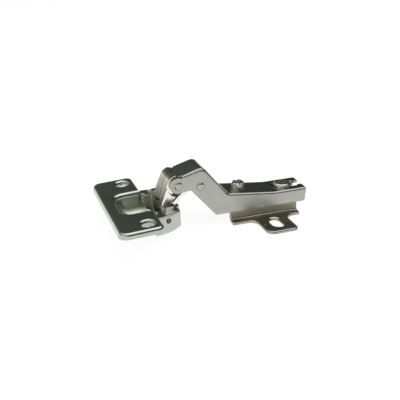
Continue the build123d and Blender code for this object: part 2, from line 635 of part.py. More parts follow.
def closing_spring(sign):
    """Torsion spring round the link's cup pin: one tail in the cup's wall, one on the link's foot."""
    base = LINK_HALF + COIL_SIDE_GAP + WIRE_R
    rise = COIL_PITCH * COIL_HALF_TURNS / 2
    upright = Plane(origin=(LINK_PIN_U, base, -LINK_PIN_N), x_dir=(1, 0, 0), z_dir=(0, 1, 0))
    coil = upright.location * spring_coil()
    tail = [(ANCHOR_U, base + rise, -LINK_PIN_N), (ANCHOR_U, base + rise, -ANCHOR_N),
            (ANCHOR_U, POCKET_HALF + CUP_WALL, -ANCHOR_N)]
    toe_u = LINK_PIN_U + COIL_R
    reach = LINK_FOOT_R + TOE_GAP + WIRE_R
    toe_n = LINK_PIN_N + math.sqrt(reach ** 2 - COIL_R ** 2)
    toe = [(toe_u, base, -LINK_PIN_N), (toe_u, base, -toe_n), (toe_u, LINK_HALF - LINK_SHEET, -toe_n)]
    body = coil + wire_run(tail) + wire_run(toe)
    if sign < 0:
        body = body.mirror(Plane.XZ)
    return CUP_FRAME * body


def cross_recess(span, width, depth, top):
    """Cross-shaped driver recess under a screw's top."""
    arms = Box(span, width, depth) + Box(width, span, depth)
    return Pos(0, 0, top - depth / 2 + 0.001) * arms


def fixing_screw():
    """Flanged screw that clamps the arm on the plate."""
    seat = ARM_REAR_Z + SEAT_CLEAR
    top = seat + FIX_FLANGE_H + FIX_HEAD_H
    body = Pos(0, 0, FIX_TIP_Z) * extrude(Circle(FIX_R), amount=seat - FIX_TIP_Z)
    body += Pos(0, 0, seat) * extrude(Circle(FIX_FLANGE_R), amount=FIX_FLANGE_H)
    head = Pos(0, 0, seat) * extrude(Circle(FIX_HEAD_R), amount=top - seat)
    head = chamfer(head.faces().sort_by(Axis.Z)[-1].edges(), FIX_HEAD_H / 2)
    body += head
    body -= cross_recess(RECESS_SPAN, RECESS_W, RECESS_DEPTH, top)
    return Pos(FIX_X, 0, 0) * body


def adjusting_screw():
    """Headless overlay screw whose necked toe hooks under the plate's top sheet."""
    shoulder = PLATE_HEIGHT + ADJ_PLATE_GAP
    toe = PLATE_HEIGHT - PLATE_SHEET - ADJ_PLATE_GAP
    body = Pos(0, 0, shoulder) * extrude(Circle(ADJ_R), amount=ADJ_TOP - shoulder)
    body = chamfer(body.faces().sort_by(Axis.Z)[-1].edges(), RECESS_W / 3)
    body += Pos(0, 0, toe) * extrude(Circle(ADJ_NECK_R), amount=shoulder - toe)
    body += Pos(0, 0, toe - ADJ_TOE_H) * extrude(Circle(ADJ_TOE_R), amount=ADJ_TOE_H)
    body -= cross_recess(2 * ADJ_R + 1, RECESS_W, RECESS_DEPTH, ADJ_TOP)
    return Pos(ADJ_X, 0, 0) * body


def main():
    """Build every piece and write one file for each."""
    os.makedirs("parts", exist_ok=True)
    pieces = {
        "mounting_plate": mounting_plate(),
        "hinge_arm": hinge_arm(),
        "outer_link": outer_link(),
        "inner_link": inner_link(),
        "arm_front_pin": arm_pin(FRONT_PIN),
        "arm_rear_pin": arm_pin(ARM_PIN),
        "cup_link_pin_left": cup_stub(1),
        "cup_link_pin_right": cup_stub(-1),
        "cup_rear_pin": cup_rear_pin(),
        "hinge_cup": hinge_cup(),
        "closing_spring_left": closing_spring(1),
        "closing_spring_right": closing_spring(-1),
        "fixing_screw": fixing_screw(),
        "adjusting_screw": adjusting_screw(),
    }
    for name, piece in pieces.items():
        export_step(piece, f"parts/{name}.step")


if __name__ == "__main__":
    main()
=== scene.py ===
"""Dresses a concealed cabinet hinge in nickel plate and sets it in a small studio.

It adds what the solids leave out: rivet heads, a screw thread, and the cup's drawn bowl and pressed shoulders.
"""

import logging
import math
from dataclasses import dataclass
from enum import Enum
from typing import ClassVar, Dict, List, Sequence, Tuple, Union

import bpy
import numpy as np
from mathutils import Matrix, Vector


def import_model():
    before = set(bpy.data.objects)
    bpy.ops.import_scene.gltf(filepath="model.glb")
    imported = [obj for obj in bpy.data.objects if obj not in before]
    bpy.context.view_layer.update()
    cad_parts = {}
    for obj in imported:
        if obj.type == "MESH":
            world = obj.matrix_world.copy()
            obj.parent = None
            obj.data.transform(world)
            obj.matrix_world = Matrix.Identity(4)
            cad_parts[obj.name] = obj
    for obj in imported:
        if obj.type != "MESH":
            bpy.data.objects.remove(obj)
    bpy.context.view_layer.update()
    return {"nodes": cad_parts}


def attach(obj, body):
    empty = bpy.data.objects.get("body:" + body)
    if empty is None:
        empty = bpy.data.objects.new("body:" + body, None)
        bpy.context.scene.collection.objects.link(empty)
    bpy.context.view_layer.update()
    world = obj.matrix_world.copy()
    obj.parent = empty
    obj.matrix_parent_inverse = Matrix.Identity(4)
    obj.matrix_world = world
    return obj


Colour = Tuple[float, float, float]
Vec3 = Tuple[float, float, float]
Pair = Tuple[float, float]
Socket = bpy.types.NodeSocket
Paint = Dict[str, bpy.types.Material]

LOG = logging.getLogger("cabinet_hinge")
MM = 0.001
WHITE: Colour = (1.0, 1.0, 1.0)
BLACK: Colour = (0.0, 0.0, 0.0)
HALF = 0.5
QUARTER = math.pi / 2.0
FULL_TURN = 2.0 * math.pi
CUP_CENTRE: Pair = (-57.83 * MM, 15.66 * MM)
CUP_TILT = math.radians(2.8)


class Grain(Enum):
    """Direction of the rolling lines in a sheet."""

    LENGTHWISE = (1.0, 24.0, 24.0)
    UPRIGHT = (24.0, 24.0, 1.0)
    CROSSWISE = (24.0, 1.0, 24.0)
    NONE = (6.0, 6.0, 6.0)


class Side(Enum):
    """Side of the hinge a piece sits on."""

    LEFT = 1
    RIGHT = -1


class NodeTree:
    """Thin helper that adds and links the nodes of a material or a world."""

    MIX_FIRST = 6
    MIX_SECOND = 7
    MIX_RESULT = 2

    def __init__(self, owner: Union[bpy.types.Material, bpy.types.World]) -> None:
        """Start an empty node tree.

        Args:
            owner: the material or the world to fill.
        """
        owner.use_nodes = True
        self.tree = owner.node_tree
        self.tree.nodes.clear()

    def add(self, kind: str, **settings: object) -> bpy.types.Node:
        """Add a node.

        Args:
            kind: Blender's name of the node type.
            settings: attributes to set on it.

        Returns:
            The new node.
        """
        node = self.tree.nodes.new(kind)
        for key, value in settings.items():
            setattr(node, key, value)
        return node

    def link(self, out: Socket, into: Socket) -> None:
        """Join an output to an input."""
        self.tree.links.new(out, into)

    def work_out(self, operation: str, *values: Union[Socket, float]) -> Socket:
        """Add a maths node.

        Args:
            operation: Blender's name of the operation.
            values: sockets or constants, in the order of the node's inputs.

        Returns:
            The result.
        """
        node = self.add("ShaderNodeMath", operation=operation)
        for socket, value in zip(node.inputs, values):
            if isinstance(value, bpy.types.NodeSocket):
                self.link(value, socket)
            else:
                socket.default_value = value
        return node.outputs["Value"]

    def axis(self, vector: Socket, name: str) -> Socket:
        """Take one coordinate of a vector.

        Args:
            vector: the vector.
            name: X, Y or Z.

        Returns:
            The coordinate.
        """
        split = self.add("ShaderNodeSeparateXYZ")
        self.link(vector, split.inputs["Vector"])
        return split.outputs[name]

    def stretched(self, vector: Socket, scale: Vec3) -> Socket:
        """Scale a vector along each axis.

        Args:
            vector: the vector.
            scale: a factor for each axis.

        Returns:
            The scaled vector.
        """
        node = self.add("ShaderNodeMapping")
        node.inputs["Scale"].default_value = scale
        self.link(vector, node.inputs["Vector"])
        return node.outputs["Vector"]

    def noise(self, vector: Socket, scale: float, detail: float, roughness: float = HALF) -> Socket:
        """Add a noise texture.

        Args:
            vector: where the noise is read.
            scale: how fine it is.
            detail: how many layers it has.
            roughness: how strong the fine layers are.

        Returns:
            The noise, from 0 to 1.
        """
        node = self.add("ShaderNodeTexNoise")
        node.inputs["Scale"].default_value = scale
        node.inputs["Detail"].default_value = detail
        node.inputs["Roughness"].default_value = roughness
        self.link(vector, node.inputs["Vector"])
        return node.outputs["Fac"]

    def ramp(self, source: Socket, stops: Sequence[Tuple[float, Colour]]) -> Socket:
        """Map a value to colours.

        Args:
            source: the value.
            stops: positions with linear colours, in order.

        Returns:
            The ramp's colour output.
        """
        node = self.add("ShaderNodeValToRGB")
        points = node.color_ramp.elements
        while len(points) < len(stops):
            points.new(HALF)
        for point, (place, colour) in zip(points, stops):
            point.position = place
            point.color = (*colour, 1.0)
        self.link(source, node.inputs["Fac"])
        return node.outputs["Color"]

    def levels(self, source: Socket, stops: Sequence[Pair]) -> Socket:
        """Map a value to grey levels, given as positions with levels."""
        return self.ramp(source, [(place, (level,) * 3) for place, level in stops])

    def spread(self, source: Socket, reach: Pair, span: Pair = (0.0, 1.0), curve: str = "LINEAR") -> Socket:
        """Map a span of values to another reach, held at both ends.

        Args:
            source: the value.
            reach: results at the span's two ends.
            span: values that give those results.
            curve: Blender's name of the interpolation.

        Returns:
            The mapped value.
        """
        node = self.add("ShaderNodeMapRange", interpolation_type=curve)
        node.inputs["From Min"].default_value, node.inputs["From Max"].default_value = span
        node.inputs["To Min"].default_value, node.inputs["To Max"].default_value = reach
        self.link(source, node.inputs["Value"])
        return node.outputs["Result"]

    def blend(self, factor: Socket, first: Socket, second: Union[Socket, Colour], mode: str = "MIX") -> Socket:
        """Blend two colours.

        Args:
            factor: share of the second colour.
            first: the colour below.
            second: the colour on top, a socket or a constant.
            mode: Blender's name of the blend.

        Returns:
            The blended colour.
        """
        node = self.add("ShaderNodeMix", data_type="RGBA", blend_type=mode)
        self.link(factor, node.inputs["Factor"])
        self.link(first, node.inputs[self.MIX_FIRST])
        if isinstance(second, bpy.types.NodeSocket):
            self.link(second, node.inputs[self.MIX_SECOND])
        else:
            node.inputs[self.MIX_SECOND].default_value = (*second, 1.0)
        return node.outputs[self.MIX_RESULT]

    def bump(self, height: Socket, strength: float, distance: float) -> bpy.types.Node:
        """Add a bump node.

        Args:
            height: the relief.
            strength: how much of it shows.
            distance: its depth, in metres.

        Returns:
            The node, whose Normal input is still free.
        """
        node = self.add("ShaderNodeBump")
        node.inputs["Strength"].default_value = strength
        node.inputs["Distance"].default_value = distance
        self.link(height, node.inputs["Height"])
        return node

    def end_in_metal(self, colour: Socket, rough: Socket, normal: Socket) -> None:
        """End a material in a metal surface.

        Args:
            colour: the metal's colour.
            rough: its roughness.
            normal: its normal.
        """
        shader = self.add("ShaderNodeBsdfPrincipled")
        shader.inputs["Metallic"].default_value = 1.0
        self.link(colour, shader.inputs["Base Color"])
        self.link(rough, shader.inputs["Roughness"])
        self.link(normal, shader.inputs["Normal"])
        out = self.add("ShaderNodeOutputMaterial")
        self.link(shader.outputs["BSDF"], out.inputs["Surface"])


@dataclass(frozen=True)
class PlatedFinish:
    """Bright plating on rolled steel: cloudy tone, rolling lines and a soft round on every edge, and, if asked
    for, painted light: a lighter colour on the upright sides.
    """

    name: str
    tone: Colour
    cloud: Colour
    roughness: Pair
    grain: Grain = Grain.LENGTHWISE
    line_scale: float = 260.0
    line_bump: float = 0.05
    edge_round: float = 0.16 * MM
    stain: Colour = BLACK
    stain_from: float = 1.0
    side_dull: float = 0.0
    # Painted light: a lighter colour blended onto faces that turn to the left or right.
    side_painted_light: Colour = BLACK
    side_light_from: float = 0.88
    streak: Colour = WHITE
    fold_span: Pair = (0.0, 0.0)
    fold_stops: Tuple[Pair, ...] = ()

    LINE_DETAIL: ClassVar[float] = 4.0
    LINE_ROUGHNESS: ClassVar[float] = 0.6
    LINE_DEPTH: ClassVar[float] = 0.05 * MM
    CLOUD_SCALE: ClassVar[float] = 85.0
    CLOUD_DETAIL: ClassVar[float] = 3.0
    CLOUD_STOPS: ClassVar[Pair] = (0.32, 0.62)
    EDGE_SAMPLES: ClassVar[int] = 12
    STREAK_STRETCH: ClassVar[Vec3] = (0.05, 1.0, 0.05)
    STREAK_SCALE: ClassVar[float] = 520.0
    STREAK_DETAIL: ClassVar[float] = 2.5
    STREAK_STOPS: ClassVar[Pair] = (0.40, 0.60)
    STREAK_GROUND: ClassVar[Colour] = (0.86, 0.85, 0.80)
    STREAK_ON_SIDES: ClassVar[float] = 0.15
    STAIN_FADE: ClassVar[float] = 0.8 * MM
    STAIN_DULL: ClassVar[float] = 0.5

    def build(self) -> bpy.types.Material:
        """Make the material.

        Returns:
            The finished material.
        """
        material = bpy.data.materials.new(self.name)
        net = NodeTree(material)
        place = net.add("ShaderNodeTexCoord").outputs["Object"]
        lines = net.noise(net.stretched(place, self.grain.value), self.line_scale, self.LINE_DETAIL,
                          self.LINE_ROUGHNESS)
        cloud = net.noise(place, self.CLOUD_SCALE, self.CLOUD_DETAIL)
        colour = net.ramp(cloud, list(zip(self.CLOUD_STOPS, (self.cloud, self.tone))))
        if min(self.streak) < 1.0:
            colour = self.draw_streaks(net, place, colour)
        # Painted light: the upright sides get a lighter colour than the rest.
        if max(self.side_painted_light) > 0.0:
            share = net.spread(self.side_share(net), (0.0, 1.0), (self.side_light_from, 1.0))
            colour = net.blend(share, colour, self.side_painted_light)
        rough = net.spread(lines, self.roughness)
        if self.stain_from < 1.0:
            colour, rough = self.stain_above(net, place, colour, rough)
        if self.side_dull > 0.0:
            rough = net.work_out("MULTIPLY_ADD", self.side_share(net), self.side_dull, rough)
        edge = net.add("ShaderNodeBevel", samples=self.EDGE_SAMPLES)
        edge.inputs["Radius"].default_value = self.edge_round
        if self.fold_stops:
            net.link(self.fold_radius(net, place), edge.inputs["Radius"])
        relief = net.bump(lines, self.line_bump, self.LINE_DEPTH)
        net.link(edge.outputs["Normal"], relief.inputs["Normal"])
        net.end_in_metal(colour, rough, relief.outputs["Normal"])
        return material

    def fold_radius(self, net: NodeTree, place: Socket) -> Socket:
        """Let the soft round of the folds grow and shrink along the part.

        Args:
            net: the material's node helper.
            place: object coordinates.

        Returns:
            The radius.
        """
        along = net.spread(net.axis(place, "X"), (0.0, 1.0), self.fold_span)
        return net.work_out("MULTIPLY", net.levels(along, self.fold_stops), self.edge_round)

    @staticmethod
    def side_share(net: NodeTree) -> Socket:
        """Measure how far a face turns to the part's left or right.

        Args:
            net: the material's node helper.

        Returns:
            One on the upright sides, zero on the top, the front and the rear.
        """
        normal = net.add("ShaderNodeNewGeometry").outputs["Normal"]
        return net.work_out("ABSOLUTE", net.axis(normal, "Y"))

    def draw_streaks(self, net: NodeTree, place: Socket, colour: Socket) -> Socket:
        """Multiply the colour by long dark drawing marks, on the web more than on the cheeks.

        Args:
            net: the material's node helper.
            place: object coordinates.
            colour: the plain colour.

        Returns:
            The colour with the marks.
        """
        marks = net.noise(net.stretched(place, self.STREAK_STRETCH), self.STREAK_SCALE, self.STREAK_DETAIL)
        shade = net.ramp(marks, list(zip(self.STREAK_STOPS, (self.streak, self.STREAK_GROUND))))
        share = net.spread(self.side_share(net), (1.0, self.STREAK_ON_SIDES))
        return net.blend(share, colour, shade, "MULTIPLY")

    def stain_above(self, net: NodeTree, place: Socket, colour: Socket, rough: Socket) -> Tuple[Socket, Socket]:
        """Let the plating turn brown and dull above a height, as it does on the wall of a channel.

        Args:
            net: the material's node helper.
            place: object coordinates.
            colour: the plain colour.
            rough: the plain roughness.

        Returns:
            The colour and the roughness with the stain.
        """
        span = (self.stain_from, self.stain_from + self.STAIN_FADE)
        share = net.spread(net.axis(place, "Z"), (0.0, 1.0), span)
        return net.blend(share, colour, self.stain), net.work_out("MULTIPLY_ADD", share, self.STAIN_DULL, rough)


@dataclass(frozen=True)
class TurnedFinish:
    """Turned or pressed steel with fine rings round its axis, read from the piece's UV map."""

    name: str
    tone: Colour
    shade: Colour
    rings: float
    roughness: Pair

    RING_WAVER: ClassVar[float] = 0.6
    RING_DETAIL: ClassVar[float] = 2.0
    RING_STOPS: ClassVar[Pair] = (0.0, 0.55)
    RING_BUMP: ClassVar[float] = 0.12
    RING_DEPTH: ClassVar[float] = 0.03 * MM

    def build(self) -> bpy.types.Material:
        """Make the material.

        Returns:
            The finished material.
        """
        material = bpy.data.materials.new(self.name)
        net = NodeTree(material)
        wave = net.add("ShaderNodeTexWave", bands_direction="Y")
        wave.inputs["Scale"].default_value = self.rings
        wave.inputs["Distortion"].default_value = self.RING_WAVER
        wave.inputs["Detail"].default_value = self.RING_DETAIL
        net.link(net.add("ShaderNodeTexCoord").outputs["UV"], wave.inputs["Vector"])
        rings = wave.outputs["Fac"]
        colour = net.ramp(rings, list(zip(self.RING_STOPS, (self.shade, self.tone))))
        relief = net.bump(rings, self.RING_BUMP, self.RING_DEPTH)
        net.end_in_metal(colour, net.spread(rings, self.roughness), relief.outputs["Normal"])
        return material


SHEET = PlatedFinish("plated_sheet", (0.49, 0.505, 0.465), (0.42, 0.435, 0.395), (0.13, 0.25))
ARM_SHEET = PlatedFinish(
    "plated_arm", (0.445, 0.455, 0.42), (0.39, 0.40, 0.365), (0.13, 0.25), side_dull=0.2,
    edge_round=2.2 * MM, fold_span=(-50.0 * MM, -20.0 * MM),
    fold_stops=((0.2, 0.12), (0.45, 1.0), (0.62, 0.8), (0.85, 0.2)))
# Painted light: a brighter copy of the cup's plating, to lighten the pocket's inside.
BOWL_PAINTED_LIGHT = PlatedFinish("drawn_bowl", (0.60, 0.625, 0.55), (0.53, 0.55, 0.48), (0.36, 0.46), Grain.NONE)
# Painted shade and light: a much darker copy of the cup's plating, with a painted lighter colour on the
# shoulder's upright walls.
SHOULDER_PAINTED_SHADE_AND_LIGHT = PlatedFinish(
    "pressed_shoulder", (0.25, 0.26, 0.23), (0.22, 0.23, 0.205), (0.2, 0.32), Grain.NONE,
    side_painted_light=(0.66, 0.66, 0.58))
# Drawing streaks on the web, and painted light: the cheeks get a much lighter colour than the web.
LINK_STREAKS_AND_SIDE_LIGHT = PlatedFinish(
    "plated_link", (0.46, 0.455, 0.415), (0.39, 0.385, 0.345), (0.2, 0.34), Grain.UPRIGHT,
    line_scale=300.0, line_bump=0.12, edge_round=0.3 * MM, streak=(0.52, 0.51, 0.43),
    side_painted_light=(0.86, 0.855, 0.80), side_light_from=0.2)
PLATE_SHEET = PlatedFinish(
    "plated_plate", (0.46, 0.445, 0.39), (0.35, 0.335, 0.28), (0.1, 0.2),
    edge_round=1.0 * MM, stain=(0.42, 0.38, 0.275), stain_from=1.9 * MM)
SCREW_STEEL = PlatedFinish("plated_screw", (0.70, 0.70, 0.65), (0.55, 0.55, 0.50), (0.14, 0.26), Grain.CROSSWISE)
PIN_STEEL = PlatedFinish("pin_steel", (0.50, 0.505, 0.47), (0.40, 0.405, 0.375), (0.2, 0.32), Grain.NONE)
SPRING_STEEL = PlatedFinish("spring_wire", (0.34, 0.34, 0.31), (0.24, 0.24, 0.22), (0.25, 0.4), Grain.NONE)
RIVET = TurnedFinish("rivet_head", (0.47, 0.475, 0.44), (0.36, 0.365, 0.335), 7.0, (0.16, 0.28))
THREAD = TurnedFinish("screw_thread", (0.55, 0.55, 0.5), (0.4, 0.4, 0.36), 3.0, (0.2, 0.32))
FINISHES = (SHEET, ARM_SHEET, BOWL_PAINTED_LIGHT, SHOULDER_PAINTED_SHADE_AND_LIGHT, LINK_STREAKS_AND_SIDE_LIGHT, PLATE_SHEET, SCREW_STEEL, PIN_STEEL,
            SPRING_STEEL, RIVET, THREAD)


def ease(value: np.ndarray, start: float, span: Union[float, np.ndarray]) -> np.ndarray:
    """Rise smoothly from 0 to 1: 3 x^2 - 2 x^3, with x the share of the span, held at both ends.

    Args:
        value: places.
        start: where the rise begins.
        span: how long it is, for all places or for each row.

    Returns:
        The shares.
    """
    share = np.clip((value - start) / span, 0.0, 1.0)
    return share * share * (3.0 - 2.0 * share)


def in_cup(along: np.ndarray, across: np.ndarray, below: np.ndarray) -> np.ndarray:
    """Place points that are given in the tilted cup's own axes.

    Args:
        along: distances from the recess's centre towards the arm.
        across: distances to the left.
        below: depths under the flange's face.

    Returns:
        Array with 3 coordinates in its last axis.
    """
    return np.stack([
        CUP_CENTRE[0] + along * math.cos(CUP_TILT) + below * math.sin(CUP_TILT),
        across,
        CUP_CENTRE[1] + along * math.sin(CUP_TILT) - below * math.cos(CUP_TILT),
    ], axis=-1)


def grid_mesh(name: str, points: np.ndarray, uv: np.ndarray, closed: bool = False) -> bpy.types.Object:
    """Turn a grid of points into a smooth mesh object.

    Args:
        name: name of the object.
        points: array of rows, columns and 3 coordinates, in metres.
        uv: array of rows, columns and 2 texture coordinates.
        closed: whether the last column joins the first and a flat face closes the first and the last row.

    Returns:
        The new object, at the origin.
    """
    rows, columns = points.shape[:2]
    index = np.arange(rows * columns).reshape(rows, columns)
    after = np.roll(index, -1, axis=1) if closed else index[:, 1:]
    here = index if closed else index[:, :-1]
    faces = np.stack([here[:-1], after[:-1], after[1:], here[1:]], axis=-1).reshape(-1, 4)
    ends = [index[0, ::-1].tolist(), index[-1].tolist()] if closed else []
    mesh = bpy.data.meshes.new(name)
    mesh.from_pydata(points.reshape(-1, 3), [], faces.tolist() + ends)
    layer = mesh.uv_layers.new(name="UVMap")
    corner = np.empty(len(mesh.loops), dtype=np.int32)
    mesh.loops.foreach_get("vertex_index", corner)
    layer.data.foreach_set("uv", uv.reshape(-1, 2)[corner].astype(np.float32).ravel())
    mesh.polygons.foreach_set("use_smooth", np.arange(len(mesh.polygons)) < len(faces))
    mesh.update()
    piece = bpy.data.objects.new(name, mesh)
    bpy.context.scene.collection.objects.link(piece)
    return piece


def grid_uv(across: np.ndarray, down: np.ndarray) -> np.ndarray:
    """Spread texture coordinates over a grid's columns and rows."""
    return np.stack(np.broadcast_arrays(across[None], down[:, None]), axis=-1)


def thicken(piece: bpy.types.Object, skin: float) -> None:
    """Give a surface the thickness of its sheet, behind its visible face.

    Args:
        piece: the surface.
        skin: the thickness, in metres.
    """
    sheet = piece.modifiers.new("sheet", "SOLIDIFY")
    sheet.thickness = skin
    sheet.offset = -1.0


@dataclass
class RivetHead:
    """Peened end of a pin: a low dome with a rolled rim and a small dimple in the middle."""

    name: str
    body: str
    place: Pair
    face: float
    side: Side
    radius: float = 1.72 * MM
    rise: float = 0.42 * MM
    dome_power: float = 2.6
    dimple_depth: float = 0.35
    dimple_reach: float = 0.22
    middle: float = 0.004
    rings: int = 25
    segments: int = 48

    def build(self) -> bpy.types.Object:
        """Revolve the head: a quarter superellipse for the height, less a bell-shaped dimple at the middle.

        Returns:
            The new object.
        """
        reach = np.linspace(1.0, 0.0, self.rings)
        dome = np.sqrt(np.clip(1.0 - reach ** self.dome_power, 0.0, 1.0))
        dimple = self.dimple_depth * np.exp(-((reach / self.dimple_reach) ** 2))
        height = self.rise * (dome - dimple)
        radius = np.maximum(reach, self.middle) * self.radius
        sign = float(self.side.value)
        along = Vector((0.0, sign, 0.0))
        right = along.orthogonal().normalized()
        angle = np.linspace(0.0, FULL_TURN, self.segments, endpoint=False)
        ring = np.cos(angle)[:, None] * np.array(right) + np.sin(angle)[:, None] * np.array(along.cross(right))
        centre = np.array((self.place[0], sign * self.face, self.place[1]))
        points = centre + height[:, None, None] * np.array(along) + radius[:, None, None] * ring[None]
        uv = grid_uv(angle / FULL_TURN, radius / radius.max())
        piece = grid_mesh(self.name, points, uv, closed=True)
        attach(piece, self.body)
        return piece


@dataclass
class ScrewThread:
    """Raised thread on the free end of the overlay screw."""

    name: str
    body: str
    place: Pair
    foot: float = 15.2 * MM
    top: float = 17.2 * MM
    radius: float = 2.95 * MM
    height: float = 0.14 * MM
    pitch: float = 0.8 * MM
    run_out: float = 1.2
    steps_per_turn: int = 40

    RIDGE_OUT: ClassVar[Tuple[float, ...]] = (-0.6, 0.55, 1.0, 0.55, -0.6)
    RIDGE_UP: ClassVar[Tuple[float, ...]] = (-0.42, -0.16, 0.0, 0.16, 0.42)

    def build(self) -> bpy.types.Object:
        """Carry a V profile along a helix: radius and height of each profile point are added to the helix.

        Its foot lies under the screw's surface, and the ridge fades out at both ends.

        Returns:
            The new object.
        """
        turns = (self.top - self.foot) / self.pitch
        steps = int(turns * self.steps_per_turn) + 1
        angle = np.linspace(0.0, FULL_TURN * turns, steps)
        fade = np.clip(np.minimum(angle, angle[-1] - angle) / self.run_out, 0.0, 1.0)
        out = np.array(self.RIDGE_OUT) * self.height
        up = np.array(self.RIDGE_UP) * self.pitch
        radius = self.radius + out * np.where(out > 0.0, fade[:, None], 1.0)
        level = self.foot + self.pitch * angle[:, None] / FULL_TURN + up
        points = np.stack([
            self.place[0] + radius * np.cos(angle)[:, None],
            self.place[1] + radius * np.sin(angle)[:, None],
            level,
        ], axis=-1)
        share = np.linspace(0.0, 1.0, up.size)
        uv = np.stack(np.broadcast_arrays(angle[:, None], share[None]), axis=-1)
        piece = grid_mesh(self.name, points[:, ::-1], uv, closed=True)
        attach(piece, self.body)
        return piece


@dataclass
class PocketBowl:
    """The drawn bowl of the cup's pocket, rounder than the solid: its lip lies on the pocket's wall."""

    half: float = 10.97 * MM
    front: float = 13.57 * MM
    corner: float = 4.97 * MM
    rear: float = 1.8 * MM
    sink_from: float = -2.2 * MM
    sink: float = 0.38 * MM
    lip: float = 1.75 * MM
    depth: float = 10.87 * MM
    spine_front: float = -2.5 * MM
    front_power: float = 1.9
    side_power: float = 3.2
    power_blend: float = 1.5
    skin: float = 0.25 * MM
    weld: float = 0.002 * MM
    side_steps: int = 40
    turn_steps: int = 17
    down_steps: int = 33

    def outline(self) -> Tuple[np.ndarray, np.ndarray]:
        """Walk round the pocket: far side, front corner, front, near corner, near side.

        Returns:
            Places along and across the cup.
        """
        straight = np.linspace(self.rear, self.corner - self.front, self.side_steps)
        turn = np.linspace(0.0, QUARTER, self.turn_steps)[1:]
        across = np.linspace(self.half - self.corner, self.corner - self.half, self.turn_steps)[1:-1]
        u_turn = self.corner - self.front - self.corner * np.sin(turn)
        v_turn = self.half - self.corner + self.corner * np.cos(turn)
        u = np.concatenate([straight, u_turn, np.full(across.size, -self.front), u_turn[::-1], straight[::-1]])
        v = np.concatenate([np.full(straight.size, self.half), v_turn, across, -v_turn[::-1],
                            np.full(straight.size, -self.half)])
        return u, v

    def build(self) -> bpy.types.Object:
        """Loft the bowl: each outline point runs to the spine along a quarter superellipse.

        Its sides are squarer than its front, and its rear end sinks into the cup's wall and floor.
        Both halves are welded along the spine.

        Returns:
            The new object.
        """
        u, v = self.outline()
        sink = self.sink * ease(u, self.sink_from, self.rear - self.sink_from)
        frontness = np.clip(-u - (self.front - self.corner), 0.0, self.corner) / self.corner
        power = self.side_power + (self.front_power - self.side_power) * frontness ** self.power_blend
        spine = np.maximum(u, self.spine_front)
        v = v + np.sign(v) * sink
        turn = np.linspace(0.0, QUARTER, self.down_steps)
        out = np.cos(turn)[:, None].clip(0.0, 1.0) ** (2.0 / power)
        down = np.sin(turn)[:, None].clip(0.0, 1.0) ** (2.0 / power)
        points = in_cup(spine + (u - spine) * out, v * out, self.lip + (self.depth + sink - self.lip) * down)
        piece = grid_mesh("cup_bowl", points, grid_uv(np.linspace(0.0, 1.0, u.size), turn))
        seam = piece.modifiers.new("seam", "WELD")
        seam.merge_threshold = self.weld
        thicken(piece, self.skin)
        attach(piece, "cup")
        return piece


@dataclass
class PressedShoulder:
    """The cup's shoulder behind the flange: it swells over the pin and spring and turns down beside the links."""

    side: Side
    start: float = -0.2 * MM
    end: float = 11.2 * MM
    rim: float = 16.85 * MM
    level: float = 2.43 * MM
    swell: float = 2.08 * MM
    swell_from: float = 3.2 * MM
    swell_over: float = 2.6 * MM
    fall_from: float = 8.4 * MM
    fall_over: float = 3.0 * MM
    fall_share: float = 0.55
    crown: float = 11.7 * MM
    wall_front: float = 10.95 * MM
    wall_rear: float = 8.75 * MM
    wall_turn: float = 5.6 * MM
    wall_foot: float = 10.6 * MM
    bend: float = 0.7 * MM
    skin: float = 0.3 * MM
    long_steps: int = 72
    top_steps: int = 28
    bend_steps: int = 9
    wall_steps: int = 12

    def build(self) -> bpy.types.Object:
        """Sweep a section along the cup: level at the rim, a smooth swell, a quarter-round bend, an upright wall.

        Returns:
            The new object.
        """
        u = np.linspace(self.start, self.end, self.long_steps)[:, None]
        fall = 1.0 - self.fall_share * ease(u, self.fall_from, self.fall_over)
        height = ease(u, self.swell_from, self.swell_over) * fall
        wall = self.wall_front + (self.wall_rear - self.wall_front) * ease(u, self.start, self.wall_turn)
        outer = np.sqrt(self.rim ** 2 - u ** 2)
        top_v = outer + (wall + self.bend - outer) * np.linspace(0.0, 1.0, self.top_steps)[None]
        top_n = self.level - self.swell * height * ease(outer - top_v, 0.0, outer - self.crown)
        angle = np.linspace(0.0, QUARTER, self.bend_steps)[None, 1:]
        bend_v = wall + self.bend * (1.0 - np.sin(angle))
        bend_n = top_n[:, -1:] + self.bend * (1.0 - np.cos(angle))
        drop = np.linspace(0.0, 1.0, self.wall_steps)[None, 1:]
        wall_v = np.repeat(wall, drop.size, axis=1)
        wall_n = bend_n[:, -1:] + (self.wall_foot - bend_n[:, -1:]) * drop
        v = np.concatenate([top_v, bend_v, wall_v], axis=1)
        n = np.concatenate([top_n, bend_n, wall_n], axis=1)
        points = in_cup(u, self.side.value * v, n)[:, ::self.side.value]
        uv = np.stack(np.broadcast_arrays(np.linspace(0.0, 1.0, u.size)[:, None],
                                          np.linspace(0.0, 1.0, v.shape[1])[None]), axis=-1)
        piece = grid_mesh(f"cup_shoulder_{self.side.name.lower()}", points, uv)
        thicken(piece, self.skin)
        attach(piece, "cup")
        return piece


@dataclass
class Assembly:
    """Solids that belong together, with their finishes and the pieces that the scene adds to them."""

    nodes: Dict[str, bpy.types.Object]
    paint: Paint

    FINISH: ClassVar[Dict[str, PlatedFinish]] = {}

    def dress(self) -> List[str]:
        """Give the solids their finishes.

        Returns:
            The names of what was dressed.
        """
        for name, finish in self.FINISH.items():
            slots = self.nodes[name].data.materials
            slots.clear()
            slots.append(self.paint[finish.name])
        return list(self.FINISH)

    def build(self) -> List[str]:
        """Add no piece, unless the assembly has some of its own."""
        return []

    def cover(self, piece: bpy.types.Object, finish: Union[PlatedFinish, TurnedFinish]) -> str:
        """Give a new piece its finish and return its name."""
        piece.data.materials.append(self.paint[finish.name])
        return piece.name


